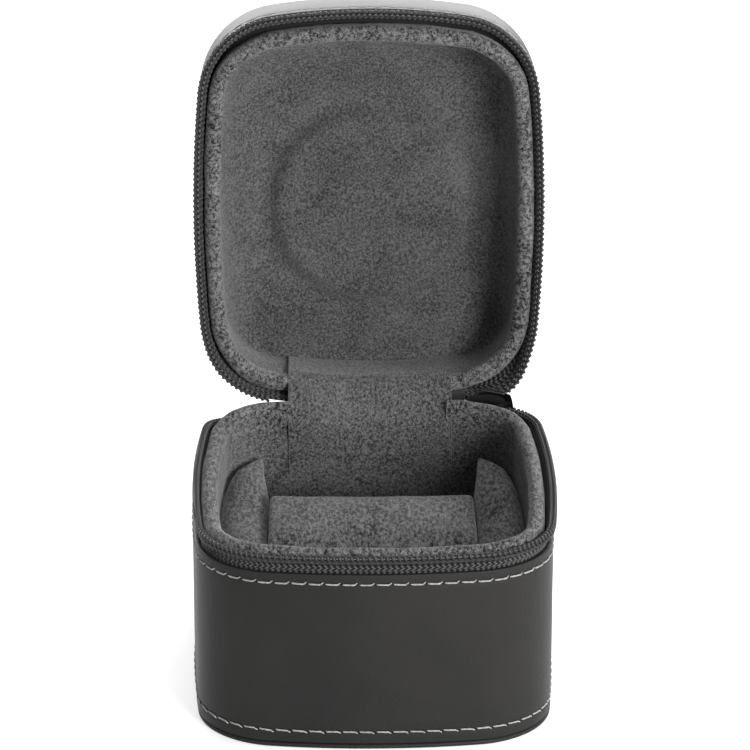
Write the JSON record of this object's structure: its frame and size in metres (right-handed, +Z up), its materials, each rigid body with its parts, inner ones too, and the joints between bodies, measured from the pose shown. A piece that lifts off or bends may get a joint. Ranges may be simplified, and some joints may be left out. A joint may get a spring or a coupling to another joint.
{
  "type": "watch travel case",
  "caption": "Small zipped leather travel case for one wristwatch, with a hinged lid, padded suede lining and a lift-out pillow.",
  "frame": {"origin": "middle of the underside of the base, on the surface it stands on", "axes": "+X to the right, +Y to the hinge at the rear, +Z up; the lid is open"},
  "size_m": [0.0914, 0.1433, 0.1536],
  "materials": {
    "leather": "smooth grain, satin",
    "lining_suede": "soft napped microfibre suede",
    "pillow_suede": "soft napped microfibre suede",
    "zip_tape": "woven polyester tape, matt",
    "moulded_shell": "moulded board, matt",
    "coil_nylon": "nylon coil, satin",
    "thread": "off-white twisted thread",
    "foam": "upholstery wadding",
    "zip_metal": "dark plated, satin"
  },
  "bodies": {
    "base": {"base_wrap": "leather", "base_bottom_panel": "leather", "base_shell": "moulded_shell", "base_lining": "lining_suede", "base_rim_roll": "lining_suede", "base_floor_pad": "lining_suede", "side_pad_left": "lining_suede", "side_pad_right": "lining_suede", "base_zip_tape": "zip_tape", "base_zip_coil": "coil_nylon", "base_top_stop": "coil_nylon", "zip_bottom_stop": "coil_nylon", "base_rim_stitches": "thread", "base_foot_stitches": "thread", "hinge_spine": "leather", "hinge_strip": "lining_suede", "zip_tail": "zip_tape"},
    "lid": {"lid_wrap": "leather", "lid_top_panel": "leather", "lid_shell": "moulded_shell", "lid_lining": "lining_suede", "lid_rim_roll": "lining_suede", "lid_ceiling_disc": "lining_suede", "lid_zip_tape": "zip_tape", "lid_zip_coil": "coil_nylon", "lid_top_stop": "coil_nylon", "lid_rim_stitches": "thread", "lid_crown_stitches": "thread"},
    "pillow": {"pillow_cover": "pillow_suede", "pillow_core": "foam", "pillow_end_left": "pillow_suede", "pillow_end_right": "pillow_suede"},
    "slider": {"zip_slider": "zip_metal"},
    "puller": {"puller_ring": "zip_metal", "puller_tab": "zip_metal"}
  },
  "joints": [
    {"name": "lid_hinge", "type": "hinge", "parent": "base", "child": "lid", "pos_m": [0, 0.051, 0.0508], "axis": [1, 0, 0], "range_deg": [0, 96], "deforming": ["hinge_spine", "hinge_strip", "zip_tail", "lid_zip_tape", "lid_zip_coil"]},
    {"name": "pillow_lift", "type": "slide", "parent": "base", "child": "pillow", "axis": [0, 0, 1], "range_m": [0, 0.1]},
    {"name": "slider_travel", "type": "hinge", "parent": "base", "child": "slider", "pos_m": [0.02219, 0.02885, 0.0515], "axis": [0, 0, 1], "range_deg": [-44.5, 0], "deforming": ["base_zip_coil", "base_zip_tape"]},
    {"name": "puller_swing", "type": "hinge", "parent": "slider", "child": "puller", "pos_m": [0.03405, 0.05116, 0.0515], "axis": [0.8829, -0.4695, 0], "range_deg": [-6, 85]}
  ]
}
